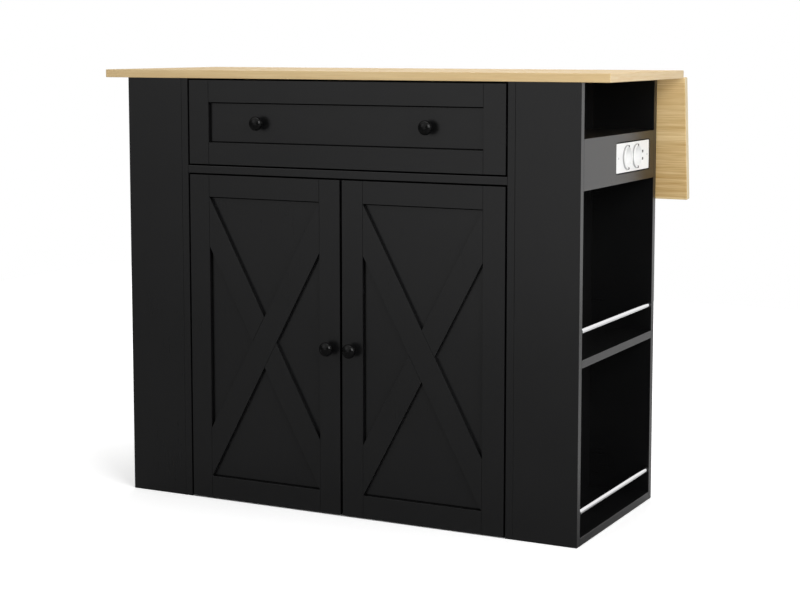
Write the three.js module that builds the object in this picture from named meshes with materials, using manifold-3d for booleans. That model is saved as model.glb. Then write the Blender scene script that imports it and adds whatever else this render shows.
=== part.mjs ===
// A kitchen island: one wide drawer over two cross-braced doors, open shelves at both ends, a power
// outlet in the right end, and a drop leaf that hangs behind on a long hinge and two folding brackets.
// Millimetres. +X is the right end, -Y the front and +Z up. The island stands on z = 0, and the
// origin is under the middle of everything it reaches over.

import * as THREE from 'three';
import { mergeVertices } from 'three/addons/utils/BufferGeometryUtils.js';
import Module from 'manifold-3d';

const wasm = await Module();
wasm.setup();

// ---- Driving dimensions ----

// Cabinet
const overallHeight = 920;
const cabinetWidth = 1044;
const cabinetDepth = 436;
const boardThickness = 16;
const endUnitDepth = 136; // how far the open shelves at each end reach in from the end

// Worktop
const worktopThickness = 17;
const worktopEndOverhang = 58;
const worktopFrontOverhang = 2;
const worktopEdgeRadius = 1.5;

// Clearances round the drawer front and the doors, which lie flush between the side boards
const worktopGap = 4;
const rowGap = 3.5;
const sideGap = 4;
const centreGap = 5.5;
const doorFloorGap = 3;
const doorBackGap = 2; // between the swing of a door's edge and the bottom board behind it

// Framed fronts: a frame of stiles and rails round a recessed panel, which sits in a groove
const drawerFrontHeight = 177;
const frameThickness = 16;
const stileWidth = 48;
const railWidth = 46;
const panelRecess = 8;
const panelThickness = 5;
const grooveDepth = 9;
const grooveSlack = 0.3;
const braceWidth = 50;
const jointLineWidth = 0.8; // the fine line that shows where two pieces of a frame meet
const jointLineDepth = 0.8;

// Drawer box and slides
const drawerBoxLength = 352;
const drawerBoxLift = 13; // box's underside above the drawer front's lower edge
const drawerBoxHeight = 130;
const drawerSideThickness = 12;
const drawerBottomThickness = 5;
const drawerBottomInset = 10;
const drawerBackDrop = 12; // back's top edge below the sides' top edge
const slideWidth = 12.7;
const slideHeight = 45;
const slideLength = 340;
const slideWall = 1.2;
const slideBallGap = 1.5;
const slideLipShare = 0.2; // where the middle member's lips end, as a share of the slide's width
const slideFrontGap = 4;
const screwGap = 0.3; // left between a metal fitting and the face that it is screwed to

// Knobs
const knobLength = 27;
const knobHeadRadius = 15;
const knobHeadStart = 12;
const knobRimHeight = 5;
const knobNeckRadius = 5.5;
const knobBaseRadius = 8;
const knobBaseThickness = 1.5;
const drawerKnobSpread = 392;

// Door hinges: a cup let into the stile, and a cranked arm on the side board
const doorPinInset = 14; // from the door's outer edge
const doorPinDepth = 10; // behind the door's front face
const cupRadius = 17.5;
const cupEdgeDistance = 4;
const cupDepth = 13;
const cupWall = 1;
const cupFlangeThickness = 1.2;
const cupFlangeWidth = 21;
const cupFlangeHeight = 52;
const hingePinRadius = 2;
const hingeKnuckleRadius = 4;
const runningGap = 0.3;
const hingeArmThickness = 3;
const hingeArmHeight = 12;
const hingeNeckInset = 13; // how far in from the pin the arm's neck stands
const hingePlateLength = 44;
const hingePlateHeight = 50;
const hingeHeightFromDoorEnd = 90;

// Shelves
const innerShelfTop = 368;
const innerShelfSetback = 28;
const middleShelfTop = 367.5;
const cubbyHeight = 108; // between the power box's top and the worktop

// Guard rails across the open end shelves
const railRadius = 6;
const railEndInset = 8; // rail's centre from the cabinet's end
const railAboveMiddleShelf = 55;
const railAboveBottomShelf = 48.5;
const railCupWall = 1.5;
const railCupLength = 5;

// Power box in the right end: a fascia round an outlet
const fasciaHeight = 100;
const plateWidth = 193.5;
const plateHeight = 59.5;
const plateThickness = 3;
const plateCornerRadius = 3;
const plateSetback = 0.5;
const plateOffset = 75; // towards the back from the middle of the fascia
const plateLift = 51.5; // plate's centre above the fascia's lower edge
const plateSlot = 2.5; // dark line left between plate and fascia
const housingDepth = 38;
const socketRadius = 20.5;
const socketDepth = 17;
const socketSpread = 56;
const socketOffset = 8; // the pair's centre in front of the plate's centre
const socketPinRadius = 2.6;
const socketPinSpread = 19;
const socketPinDepth = 14;
const socketClipWidth = 5;
const socketClipReach = 2;
const usbOffset = 56; // behind the plate's centre
const usbSpread = 15;
const usbWidth = 13;
const usbHeight = 5.2;
const usbDepth = 10;
const usbTongueHeight = 2.4;
const cableHoleRadius = 17;

// Drop leaf and its hinge
const leafReach = 260;
const leafRestTilt = 6.3; // degrees from plumb, while it hangs
const leafJointGap = 2;
const leafPinBehindWorktop = 5.3;
const leafBarrelRadius = 3;
const leafPinRadius = 1.6;
const leafPinGap = 0.15;
const leafPlateThickness = 1.4;
const leafPlateReach = 20;
const leafHingeLength = 1000;
const leafKnuckleCount = 25;
const leafKnuckleGap = 0.5;

// Folding brackets: a leg on the back panel, a strut, and a channel under the leaf
const bracketSpread = 500;
const bracketPivotDrop = 80; // below the leaf's hinge pin
const bracketPivotOffset = 7; // behind the back panel
const wallLegWidth = 28;
const wallLegThickness = 2;
const wallLegLength = 112;
const wallLegPivotHeight = 50; // pivot above the leg's lower end
const lugHeight = 26;
const lugThickness = 2;
const strutLength = 150;
const strutThickness = 8;
const strutWidth = 10;
const strutPinRadius = 2.5;
const strutSideGap = 0.5;
const rollerRadius = 5;
const rollerGap = 0.2;
const channelWall = 1.5;
const channelDepth = 13;
const channelSideGap = 1;
const channelEndRoom = 8; // beyond the roller at either end of its run
const channelTailLength = 58; // flat part of the leg, nearer the hinge

// ---- Levels and planes that follow ----

const halfWidth = cabinetWidth / 2;
const frontFace = -cabinetDepth / 2;
const backFace = cabinetDepth / 2;
const insideFront = frontFace + boardThickness;
const insideBack = backFace - boardThickness;
const sideBoardOuter = halfWidth - endUnitDepth;
const sideBoardInner = sideBoardOuter - boardThickness;
const worktopUnderside = overallHeight - worktopThickness;
const drawerFrontTop = worktopUnderside - worktopGap;
const drawerFrontBottom = drawerFrontTop - drawerFrontHeight;
const dividerTop = drawerFrontBottom - rowGap;
const dividerUnderside = dividerTop - boardThickness;
const doorTop = dividerUnderside - rowGap;
const doorBottom = doorFloorGap;
const frontHalfWidth = sideBoardInner - sideGap;
const panelFace = frontFace + panelRecess;
const panelBack = panelFace + panelThickness;
const frameBack = frontFace + frameThickness;
const doorPin = [frontHalfWidth - doorPinInset, frontFace + doorPinDepth];
const doorEdgeSwing = Math.hypot(doorPinInset, Math.max(doorPinDepth, frameThickness - doorPinDepth));
const bottomBoardFront = doorPin[1] + doorEdgeSwing + doorBackGap;
const powerBoxTop = worktopUnderside - cubbyHeight;
const fasciaBottom = powerBoxTop - fasciaHeight;
const fasciaInside = halfWidth - boardThickness;
const plateCentre = fasciaBottom + plateLift;
const leafPinBelowWorktop = leafBarrelRadius + screwGap;
const leafPinY = backFace + leafPinBehindWorktop;
const leafPinZ = worktopUnderside - leafPinBelowWorktop;
const leafFold = THREE.MathUtils.degToRad(90 - leafRestTilt);
const overrun = 1; // how far a cutter runs past the faces that it cuts through

const sides = [
  ['left', -1],
  ['right', 1],
];

// ---- Finishes ----

const blackPaint = { color: 0x1c1c1d, roughness: 0.45, metalness: 0 };
const paleWood = { color: 0xcfae7c, roughness: 0.55, metalness: 0 };
const chrome = { color: 0xd8d8da, roughness: 0.12, metalness: 1 };
const darkMetal = { color: 0x2b2a2a, roughness: 0.35, metalness: 0.8 };
const zincSteel = { color: 0x9a9c9f, roughness: 0.4, metalness: 1 };
const whitePlastic = { color: 0xf2f2f0, roughness: 0.35, metalness: 0 };
const drawerBoard = { color: 0x222224, roughness: 0.6, metalness: 0 };

function piece(name, finish, geometry) {
  const mesh = new THREE.Mesh(geometry, new THREE.MeshStandardMaterial(finish));
  mesh.name = name;
  return mesh;
}

// ---- Shapes ----

// A box between two corners, given as its span along each axis
function block([x0, x1], [y0, y1], [z0, z1]) {
  const box = new THREE.BoxGeometry(x1 - x0, y1 - y0, z1 - z0);
  return box.translate((x0 + x1) / 2, (y0 + y1) / 2, (z0 + z1) / 2);
}

// A plain board, placed by its centre
function board(name, finish, [x0, x1], [y0, y1], [z0, z1]) {
  const mesh = piece(name, finish, new THREE.BoxGeometry(x1 - x0, y1 - y0, z1 - z0));
  mesh.position.set((x0 + x1) / 2, (y0 + y1) / 2, (z0 + z1) / 2);
  return mesh;
}

// Rods between two places on an axis; the centre gives the other two coordinates
function rodAlongX(radius, facets, [x0, x1], [y, z]) {
  const rod = new THREE.CylinderGeometry(radius, radius, x1 - x0, facets);
  return rod.rotateZ(Math.PI / 2).translate((x0 + x1) / 2, y, z);
}

function rodAlongY(radius, facets, [y0, y1], [x, z]) {
  const rod = new THREE.CylinderGeometry(radius, radius, y1 - y0, facets);
  return rod.translate(x, (y0 + y1) / 2, z);
}

function rodAlongZ(radius, facets, [z0, z1], [x, y]) {
  const rod = new THREE.CylinderGeometry(radius, radius, z1 - z0, facets);
  return rod.rotateX(Math.PI / 2).translate(x, y, (z0 + z1) / 2);
}

// Outlines pushed along an axis: an outline is (y, z) along X, (x, z) along Y and (x, y) along Z
function push(outline, [start, end]) {
  return new THREE.ExtrudeGeometry(outline, { depth: end - start, bevelEnabled: false, curveSegments: 6 });
}

function pushAlongX(outline, span) {
  const turn = new THREE.Matrix4().makeBasis(
    new THREE.Vector3(0, 1, 0),
    new THREE.Vector3(0, 0, 1),
    new THREE.Vector3(1, 0, 0),
  );
  return push(outline, span).applyMatrix4(turn).translate(span[0], 0, 0);
}

function pushAlongY(outline, span) {
  return push(outline, span).rotateX(Math.PI / 2).translate(0, span[1], 0);
}

function pushAlongZ(outline, span) {
  return push(outline, span).translate(0, 0, span[0]);
}

function polygon(corners) {
  return new THREE.Shape(corners.map(([x, y]) => new THREE.Vector2(x, y)));
}

// A strip of even thickness along a bent centre line, mitred at its corners
function strip(centreLine, thickness) {
  const points = centreLine.map(([x, y]) => new THREE.Vector2(x, y));
  const last = points.length - 1;
  const heading = (i) => points[i + 1].clone().sub(points[i]).normalize();
  const offsets = points.map((_, i) => {
    const before = heading(Math.max(i - 1, 0));
    const after = heading(Math.min(i, last - 1));
    const across = new THREE.Vector2(-before.y - after.y, before.x + after.x).normalize();
    const share = across.x * -before.y + across.y * before.x;
    return across.multiplyScalar(thickness / 2 / share);
  });
  const left = points.map((point, i) => point.clone().add(offsets[i]));
  const right = points.map((point, i) => point.clone().sub(offsets[i]));
  return new THREE.Shape([...left.reverse(), ...right]);
}

function roundedRectangle([x0, x1], [y0, y1], radius) {
  const shape = new THREE.Shape();
  shape.absarc(x1 - radius, y0 + radius, radius, -Math.PI / 2, 0);
  shape.absarc(x1 - radius, y1 - radius, radius, 0, Math.PI / 2);
  shape.absarc(x0 + radius, y1 - radius, radius, Math.PI / 2, Math.PI);
  shape.absarc(x0 + radius, y0 + radius, radius, Math.PI, Math.PI * 1.5);
  return shape;
}

// A slab of worktop board with softened edges, its underside at z = 0
function edgedSlab([x0, x1], [y0, y1]) {
  const outline = polygon([[x0, y0], [x1, y0], [x1, y1], [x0, y1]]);
  const slab = new THREE.ExtrudeGeometry(outline, {
    depth: worktopThickness - 2 * worktopEdgeRadius,
    bevelThickness: worktopEdgeRadius,
    bevelSize: worktopEdgeRadius,
    bevelOffset: -worktopEdgeRadius,
    bevelSegments: 2,
  });
  return slab.translate(0, 0, worktopEdgeRadius);
}

// Closed meshes become solids, are joined or cut, and come back as geometry
function toSolid(geometry) {
  const bare = geometry.index ? geometry.toNonIndexed() : geometry.clone();
  bare.deleteAttribute('normal');
  bare.deleteAttribute('uv');
  const merged = mergeVertices(bare, 1e-4);
  const vertProperties = new Float32Array(merged.attributes.position.array);
  const triVerts = new Uint32Array(merged.index.array);
  return new wasm.Manifold(new wasm.Mesh({ numProp: 3, vertProperties, triVerts }));
}

function toGeometry(solid) {
  const { vertProperties, triVerts } = solid.getMesh();
  const geometry = new THREE.BufferGeometry();
  geometry.setAttribute('position', new THREE.BufferAttribute(new Float32Array(vertProperties), 3));
  geometry.setIndex(new THREE.BufferAttribute(new Uint32Array(triVerts), 1));
  geometry.computeVertexNormals();
  return geometry;
}

function join(...geometries) {
  return toGeometry(geometries.map(toSolid).reduce((all, next) => all.add(next)));
}

function cut(geometry, ...cutters) {
  return toGeometry(cutters.map(toSolid).reduce((left, cutter) => left.subtract(cutter), toSolid(geometry)));
}

// Pieces are drawn for the right side; the left one is the same shape across the middle plane,
// with its triangles turned so that they still face out
function onSide(side, geometry) {
  if (side > 0) {
    return geometry;
  }
  const other = toGeometry(toSolid(geometry));
  other.scale(-1, 1, 1);
  const corners = other.index.array;
  for (let i = 0; i < corners.length; i += 3) {
    [corners[i], corners[i + 1]] = [corners[i + 1], corners[i]];
  }
  other.computeVertexNormals();
  return other;
}

function spanOnSide(side, [near, far]) {
  return side > 0 ? [near, far] : [-far, -near];
}

// ---- Carcass ----

function makeWorktop() {
  const halfLength = halfWidth + worktopEndOverhang;
  const slab = edgedSlab([-halfLength, halfLength], [frontFace - worktopFrontOverhang, backFace]);
  const worktop = piece('worktop', paleWood, slab);
  worktop.position.z = worktopUnderside;
  return worktop;
}

// The cable hole is level with the outlet, in the middle of the power box
function cableHolePlace() {
  return [(sideBoardOuter + fasciaInside) / 2, plateCentre];
}

// The back panel's top edge is let down for the leaf's hinge plate, which lies between it and the worktop
function makeBackPanel() {
  const panel = block([-halfWidth, halfWidth], [insideBack, backFace], [0, worktopUnderside]);
  const through = [insideBack - overrun, backFace + overrun];
  const notchHalf = leafHingeLength / 2 + screwGap;
  const notchDepth = leafPlateThickness + 2 * screwGap;
  const notch = block(
    [-notchHalf, notchHalf],
    through,
    [worktopUnderside - notchDepth, worktopUnderside + overrun],
  );
  const cableHole = rodAlongY(cableHoleRadius, 24, through, cableHolePlace());
  return piece('back_panel', blackPaint, cut(panel, notch, cableHole));
}

// Side boards carry the drawer and doors; their front edges show as narrow strips beside the fronts.
// The bottom board stands back, clear of the doors' edges as they swing.
function makeCarcass() {
  const carcass = new THREE.Group();
  const between = [-sideBoardInner, sideBoardInner];
  carcass.add(
    makeWorktop(),
    makeBackPanel(),
    board('bottom_board', blackPaint, between, [bottomBoardFront, insideBack], [0, boardThickness]),
    board('divider_board', blackPaint, between, [frontFace, insideBack], [dividerUnderside, dividerTop]),
    board(
      'inner_shelf',
      blackPaint,
      between,
      [frameBack + innerShelfSetback, insideBack],
      [innerShelfTop - boardThickness, innerShelfTop],
    ),
  );
  for (const [name, side] of sides) {
    carcass.add(
      board(
        `${name}_side_board`,
        blackPaint,
        spanOnSide(side, [sideBoardInner, sideBoardOuter]),
        [frontFace, insideBack],
        [0, worktopUnderside],
      ),
      board(
        `${name}_front_panel`,
        blackPaint,
        spanOnSide(side, [sideBoardOuter, halfWidth]),
        [frontFace, insideFront],
        [0, worktopUnderside],
      ),
    );
  }
  return carcass;
}

// ---- Open shelves at the ends, with guard rails ----

function endShelf(name, side, top, reach = halfWidth) {
  return board(
    name,
    blackPaint,
    spanOnSide(side, [sideBoardOuter, reach]),
    [insideFront, insideBack],
    [top - boardThickness, top],
  );
}

// A chrome rod with a cup at each end, fixed between the front and back panels
function guardRail(name, side, z) {
  const centre = [side * (halfWidth - railEndInset), z];
  const rod = rodAlongY(railRadius, 20, [insideFront + screwGap, insideBack - screwGap], centre);
  const cups = [insideFront, insideBack - railCupLength].map((y) =>
    rodAlongY(railRadius + railCupWall, 20, [y, y + railCupLength], centre));
  return piece(name, chrome, join(rod, ...cups));
}

function makeEndShelves() {
  const shelves = new THREE.Group();
  for (const [name, side] of sides) {
    shelves.add(
      endShelf(`${name}_bottom_shelf`, side, boardThickness),
      endShelf(`${name}_middle_shelf`, side, middleShelfTop),
      guardRail(`${name}_lower_guard_rail`, side, boardThickness + railAboveBottomShelf),
      guardRail(`${name}_upper_guard_rail`, side, middleShelfTop + railAboveMiddleShelf),
    );
  }
  return shelves;
}

// ---- Power box in the right end ----

function outletOutline(margin) {
  return roundedRectangle(
    [plateOffset - plateWidth / 2 - margin, plateOffset + plateWidth / 2 + margin],
    [plateCentre - plateHeight / 2 - margin, plateCentre + plateHeight / 2 + margin],
    plateCornerRadius + margin,
  );
}

function makeFascia() {
  const panel = block([fasciaInside, halfWidth], [insideFront, insideBack], [fasciaBottom, powerBoxTop]);
  const opening = pushAlongX(outletOutline(plateSlot), [fasciaInside - overrun, halfWidth + overrun]);
  return piece('power_fascia', blackPaint, cut(panel, opening));
}

// One socket: a round well, its two pin holes, and notches above and below for its earth clips
function socketCutters(y, face) {
  const well = [face - socketDepth, face + overrun];
  const pins = [face - socketDepth - socketPinDepth, face];
  const clipHalf = socketRadius + socketClipReach;
  return [
    rodAlongX(socketRadius, 32, well, [y, plateCentre]),
    ...[-1, 1].map((step) =>
      rodAlongX(socketPinRadius, 12, pins, [y + step * socketPinSpread / 2, plateCentre])),
    block(
      well,
      [y - socketClipWidth / 2, y + socketClipWidth / 2],
      [plateCentre - clipHalf, plateCentre + clipHalf],
    ),
  ];
}

// A charging port is a slot round a flat tongue: what is cut away is the slot above and below it
function portCutters(z, face) {
  const y = plateOffset + usbOffset;
  const across = [y - usbWidth / 2, y + usbWidth / 2];
  return [-1, 1].map((step) => {
    const edges = [z + step * usbTongueHeight / 2, z + step * usbHeight / 2];
    return block([face - usbDepth, face + overrun], across, [Math.min(...edges), Math.max(...edges)]);
  });
}

// The outlet: a face plate on a moulded housing that fills the fascia's opening behind it
function makeOutlet() {
  const face = halfWidth - plateSetback;
  const plateBack = face - plateThickness;
  const plate = pushAlongX(outletOutline(0), [plateBack - overrun, face]);
  const housing = pushAlongX(outletOutline(plateSlot - runningGap), [plateBack - housingDepth, plateBack]);
  const socketPlaces = [-1, 1].map((step) => plateOffset - socketOffset + step * socketSpread / 2);
  const portPlaces = [-1, 1].map((step) => plateCentre + step * usbSpread / 2);
  return piece('power_outlet', whitePlastic, cut(
    join(plate, housing),
    ...socketPlaces.flatMap((y) => socketCutters(y, face)),
    ...portPlaces.flatMap((z) => portCutters(z, face)),
  ));
}

function makePowerBox() {
  const box = new THREE.Group();
  box.add(
    endShelf('power_box_floor', 1, fasciaBottom + boardThickness, fasciaInside),
    endShelf('power_box_top', 1, powerBoxTop, fasciaInside),
    makeFascia(),
    makeOutlet(),
  );
  return box;
}

// ---- Framed fronts ----

function openingOf([x0, x1], [z0, z1]) {
  return [
    [x0 + stileWidth, x1 - stileWidth],
    [z0 + railWidth, z1 - railWidth],
  ];
}

function grown([low, high], margin) {
  return [low - margin, high + margin];
}

// The stiles run the full height and the rails between them; a fine line shows where they meet
function frameGeometry(width, height) {
  const [across, upright] = openingOf(width, height);
  const depth = [frontFace, frameBack];
  const lineDepth = [frontFace - overrun, frontFace + jointLineDepth];
  const jointLines = across.map((x) =>
    block([x - jointLineWidth / 2, x + jointLineWidth / 2], lineDepth, grown(height, overrun)));
  const groove = block(
    grown(across, grooveDepth),
    [panelFace - grooveSlack, panelBack + grooveSlack],
    grown(upright, grooveDepth),
  );
  return cut(
    block(width, depth, height),
    block(across, grown(depth, overrun), upright),
    groove,
    ...jointLines,
  );
}

function panelGeometry(width, height) {
  const [across, upright] = openingOf(width, height);
  const tongue = grooveDepth - grooveSlack;
  return block(grown(across, tongue), [panelFace, panelBack], grown(upright, tongue));
}

// Knobs are turned: a foot, a waisted neck and a domed head
function knobGeometry([x, z], seat) {
  const outline = new THREE.Path();
  outline.moveTo(0, 0);
  outline.lineTo(knobBaseRadius, 0);
  outline.lineTo(knobBaseRadius, knobBaseThickness);
  outline.quadraticCurveTo(knobNeckRadius, knobBaseThickness, knobNeckRadius, knobHeadStart / 2);
  outline.quadraticCurveTo(knobNeckRadius, knobHeadStart, (knobNeckRadius + knobHeadRadius) / 2, knobHeadStart);
  outline.quadraticCurveTo(knobHeadRadius, knobHeadStart, knobHeadRadius, knobHeadStart + knobRimHeight);
  outline.quadraticCurveTo(knobHeadRadius, knobLength, 0, knobLength);
  const turned = new THREE.LatheGeometry(outline.getPoints(4), 24);
  return turned.rotateX(Math.PI).translate(x, seat, z);
}

// ---- Drawer ----

const drawerBoxBottom = drawerFrontBottom + drawerBoxLift;
const drawerBoxOuter = sideBoardInner - slideWidth - screwGap;
const drawerBoxInner = drawerBoxOuter - drawerSideThickness;

function addDrawerFront(drawer) {
  const width = [-frontHalfWidth, frontHalfWidth];
  const height = [drawerFrontBottom, drawerFrontTop];
  const knobHeight = (drawerFrontBottom + drawerFrontTop) / 2;
  drawer.add(
    piece('drawer_frame', blackPaint, frameGeometry(width, height)),
    piece('drawer_front_panel', blackPaint, panelGeometry(width, height)),
  );
  for (const [name, side] of sides) {
    const place = [side * drawerKnobSpread / 2, knobHeight];
    drawer.add(piece(`${name}_drawer_knob`, darkMetal, knobGeometry(place, panelFace)));
  }
}

// The box: grooved sides, a bottom slid in from behind, and a back that stands on the bottom
function addDrawerBox(drawer) {
  const length = [frameBack, frameBack + drawerBoxLength];
  const height = [drawerBoxBottom, drawerBoxBottom + drawerBoxHeight];
  const bottom = [drawerBoxBottom + drawerBottomInset, drawerBoxBottom + drawerBottomInset + drawerBottomThickness];
  const grooveBed = drawerBoxInner + drawerSideThickness / 2;
  const side = cut(
    block([drawerBoxInner, drawerBoxOuter], length, height),
    block([drawerBoxInner - overrun, grooveBed], grown(length, overrun), grown(bottom, grooveSlack)),
  );
  for (const [name, hand] of sides) {
    drawer.add(piece(`${name}_drawer_side`, drawerBoard, onSide(hand, side)));
  }
  const bottomReach = grooveBed - grooveSlack;
  drawer.add(
    board('drawer_bottom', drawerBoard, [-bottomReach, bottomReach], length, bottom),
    board(
      'drawer_back',
      drawerBoard,
      [-drawerBoxInner, drawerBoxInner],
      [length[1] - drawerSideThickness, length[1]],
      [bottom[1], height[1] - drawerBackDrop],
    ),
  );
}

// Slide members nest: the outer on the side board, the inner on the drawer, the middle between them.
// Half of each section is drawn, as (distance from the side board, height), and reflected.
function slideMember(halfSection) {
  const level = drawerBoxBottom + drawerBoxHeight / 2;
  const start = frameBack + slideFrontGap;
  const upper = halfSection.map(([out, up]) => [sideBoardInner - out, level + up]);
  const lower = halfSection.map(([out, up]) => [sideBoardInner - out, level - up]).reverse();
  return pushAlongY(polygon([...upper, ...lower]), [start, start + slideLength]);
}

function slideSections() {
  const outerHalf = slideHeight / 2;
  const middleHalf = outerHalf - slideWall - slideBallGap;
  const innerHalf = middleHalf - slideWall - slideBallGap;
  const web = (slideWidth - slideWall) / 2;
  const nearLip = slideWidth * slideLipShare;
  const farLip = slideWidth - nearLip;
  const innerLip = web + slideWall + slideBallGap;
  return {
    outer: [
      [screwGap, outerHalf],
      [farLip - slideWall, outerHalf],
      [farLip - slideWall, outerHalf - slideWall],
      [screwGap + slideWall, outerHalf - slideWall],
    ],
    middle: [
      [web, middleHalf - slideWall],
      [nearLip, middleHalf - slideWall],
      [nearLip, middleHalf],
      [farLip, middleHalf],
      [farLip, middleHalf - slideWall],
      [web + slideWall, middleHalf - slideWall],
    ],
    inner: [
      [slideWidth - slideWall, innerHalf - slideWall],
      [innerLip, innerHalf - slideWall],
      [innerLip, innerHalf],
      [slideWidth, innerHalf],
    ],
  };
}

function makeDrawer() {
  const drawer = new THREE.Group();
  addDrawerFront(drawer);
  addDrawerBox(drawer);
  for (const [member, section] of Object.entries(slideSections())) {
    for (const [name, side] of sides) {
      drawer.add(piece(`${name}_slide_${member}`, zincSteel, onSide(side, slideMember(section))));
    }
  }
  return drawer;
}

// ---- Doors ----

// A brace's outline. Its slope is the one at which a band of its width just touches two opposite
// corners of the opening, and its ends are cut plumb against the stiles.
function braceOutline([x0, x1], [z0, z1], rising, margin = 0) {
  const width = x1 - x0;
  const height = z1 - z0;
  const slope = Math.atan2(height, width) - Math.asin(braceWidth / Math.hypot(width, height));
  const endHeight = height - width * Math.tan(slope);
  const spare = margin / Math.cos(slope);
  const corners = [
    [x0, z0 - spare],
    [x1, z1 - endHeight - spare],
    [x1, z1 + spare],
    [x0, z0 + endHeight + spare],
  ];
  return polygon(rising ? corners : corners.map(([x, z]) => [x0 + x1 - x, z]));
}

// One brace runs from corner to corner and the other meets it in two halves, with a fine line between
function crossBrace(across, upright, rising) {
  const depth = [frontFace, panelFace];
  const lineDepth = [frontFace - overrun, frontFace + jointLineDepth];
  const long = pushAlongY(braceOutline(across, upright, rising), depth);
  const crossing = pushAlongY(braceOutline(across, upright, !rising), depth);
  const jointLine = pushAlongY(braceOutline(across, upright, rising, jointLineWidth), lineDepth);
  return join(long, cut(crossing, jointLine));
}

// The cups lie near the door's outer edge, with the hinge pins inside them
const cupCentre = frontHalfWidth - cupEdgeDistance - cupRadius;
const hingeHeights = [
  ['lower', doorBottom + hingeHeightFromDoorEnd],
  ['upper', doorTop - hingeHeightFromDoorEnd],
];

// A drawn steel cup with a screw flange, and the pin across its mouth
function hingeCup(z) {
  const shellRadius = cupRadius - runningGap;
  const hollowRadius = shellRadius - cupWall;
  const rim = frameBack + runningGap + cupFlangeThickness;
  const floor = frameBack - cupDepth + runningGap;
  const shell = rodAlongY(shellRadius, 28, [floor, rim], [cupCentre, z]);
  const flange = block(
    grown([cupCentre, cupCentre], cupFlangeWidth / 2),
    [rim - cupFlangeThickness, rim],
    grown([z, z], cupFlangeHeight / 2),
  );
  const hollow = rodAlongY(hollowRadius, 28, [floor + cupWall, rim + overrun], [cupCentre, z]);
  const pinFarSide = doorPin[0] + hingePinRadius - cupCentre;
  const pinReach = Math.sqrt((shellRadius - cupWall / 2) ** 2 - pinFarSide ** 2);
  const pin = rodAlongZ(hingePinRadius, 12, grown([z, z], pinReach), doorPin);
  return join(cut(join(shell, flange), hollow), pin);
}

// The arm turns round the swing of the door's edge: from its knuckle on the pin, in towards the
// middle of the cup, and back out to a plate screwed to the side board
function hingeArm(z) {
  const [pinX, pinY] = doorPin;
  const boardFace = sideBoardInner - screwGap;
  const neckX = pinX - hingeNeckInset;
  const crossY = pinY + doorEdgeSwing + hingeArmThickness;
  const height = grown([z, z], hingeArmHeight / 2);
  const neck = strip(
    [
      [pinX - hingeKnuckleRadius / 2, pinY],
      [neckX, pinY + hingeKnuckleRadius],
      [neckX, crossY],
      [boardFace - hingeArmThickness, crossY],
    ],
    hingeArmThickness,
  );
  const knuckle = rodAlongZ(hingeKnuckleRadius, 16, height, doorPin);
  const bore = rodAlongZ(hingePinRadius + runningGap, 16, grown(height, overrun), doorPin);
  const spine = block(
    [boardFace - 2 * hingeArmThickness, boardFace],
    [crossY - hingeArmThickness / 2, crossY + hingePlateLength],
    height,
  );
  const plate = block(
    [boardFace - hingeArmThickness, boardFace],
    [crossY + hingeArmThickness, crossY + hingePlateLength],
    grown([z, z], hingePlateHeight / 2),
  );
  return cut(join(pushAlongZ(neck, height), knuckle, spine, plate), bore);
}

function makeHingeArms() {
  const arms = new THREE.Group();
  for (const [name, side] of sides) {
    for (const [level, z] of hingeHeights) {
      arms.add(piece(`${name}_door_${level}_hinge_arm`, zincSteel, onSide(side, hingeArm(z))));
    }
  }
  return arms;
}

function makeDoor(name, side) {
  const door = new THREE.Group();
  const width = [centreGap / 2, frontHalfWidth];
  const height = [doorBottom, doorTop];
  const bores = hingeHeights.map(([, z]) =>
    rodAlongY(cupRadius, 28, [frameBack - cupDepth, frameBack + overrun], [cupCentre, z]));
  const knobPlace = [(centreGap + stileWidth) / 2, (doorBottom + doorTop) / 2];
  door.add(
    piece(`${name}_door_frame`, blackPaint, onSide(side, cut(frameGeometry(width, height), ...bores))),
    piece(`${name}_door_panel`, blackPaint, onSide(side, panelGeometry(width, height))),
    piece(`${name}_door_cross_brace`, blackPaint, onSide(side, crossBrace(...openingOf(width, height), false))),
    piece(`${name}_door_knob`, darkMetal, onSide(side, knobGeometry(knobPlace, frontFace))),
  );
  for (const [level, z] of hingeHeights) {
    door.add(piece(`${name}_door_${level}_hinge_cup`, zincSteel, onSide(side, hingeCup(z))));
  }
  return door;
}

// ---- Drop leaf and its hinge ----

// A knuckle and its share of the plate, as (y, z) from the pin: the plate leaves the top of the barrel.
// direction is 1 for the flap on the leaf and -1 for the plate under the worktop.
function knuckleOutline(direction) {
  const plateUnderside = leafBarrelRadius - leafPlateThickness;
  const turnBack = Math.asin(plateUnderside / leafBarrelRadius);
  const end = direction > 0 ? 2 * Math.PI + turnBack : -Math.PI - turnBack;
  const outline = new THREE.Shape();
  outline.moveTo(direction * leafPlateReach, leafBarrelRadius);
  outline.absarc(0, 0, leafBarrelRadius, Math.PI / 2, end, direction < 0);
  outline.lineTo(direction * leafPlateReach, plateUnderside);
  return outline;
}

// Half of the hinge: every second knuckle, joined by one long plate
function hingeHalf(direction, firstKnuckle) {
  const knuckleLength = leafHingeLength / leafKnuckleCount;
  const edges = [direction * (leafBarrelRadius + 2 * leafKnuckleGap), direction * leafPlateReach];
  const plate = block(
    [-leafHingeLength / 2, leafHingeLength / 2],
    [Math.min(...edges), Math.max(...edges)],
    [leafBarrelRadius - leafPlateThickness, leafBarrelRadius],
  );
  const knuckles = [];
  for (let i = firstKnuckle; i < leafKnuckleCount; i += 2) {
    const start = -leafHingeLength / 2 + i * knuckleLength;
    const span = grown([start, start + knuckleLength], -leafKnuckleGap / 2);
    knuckles.push(pushAlongX(knuckleOutline(direction), span));
  }
  return join(plate, ...knuckles);
}

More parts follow.
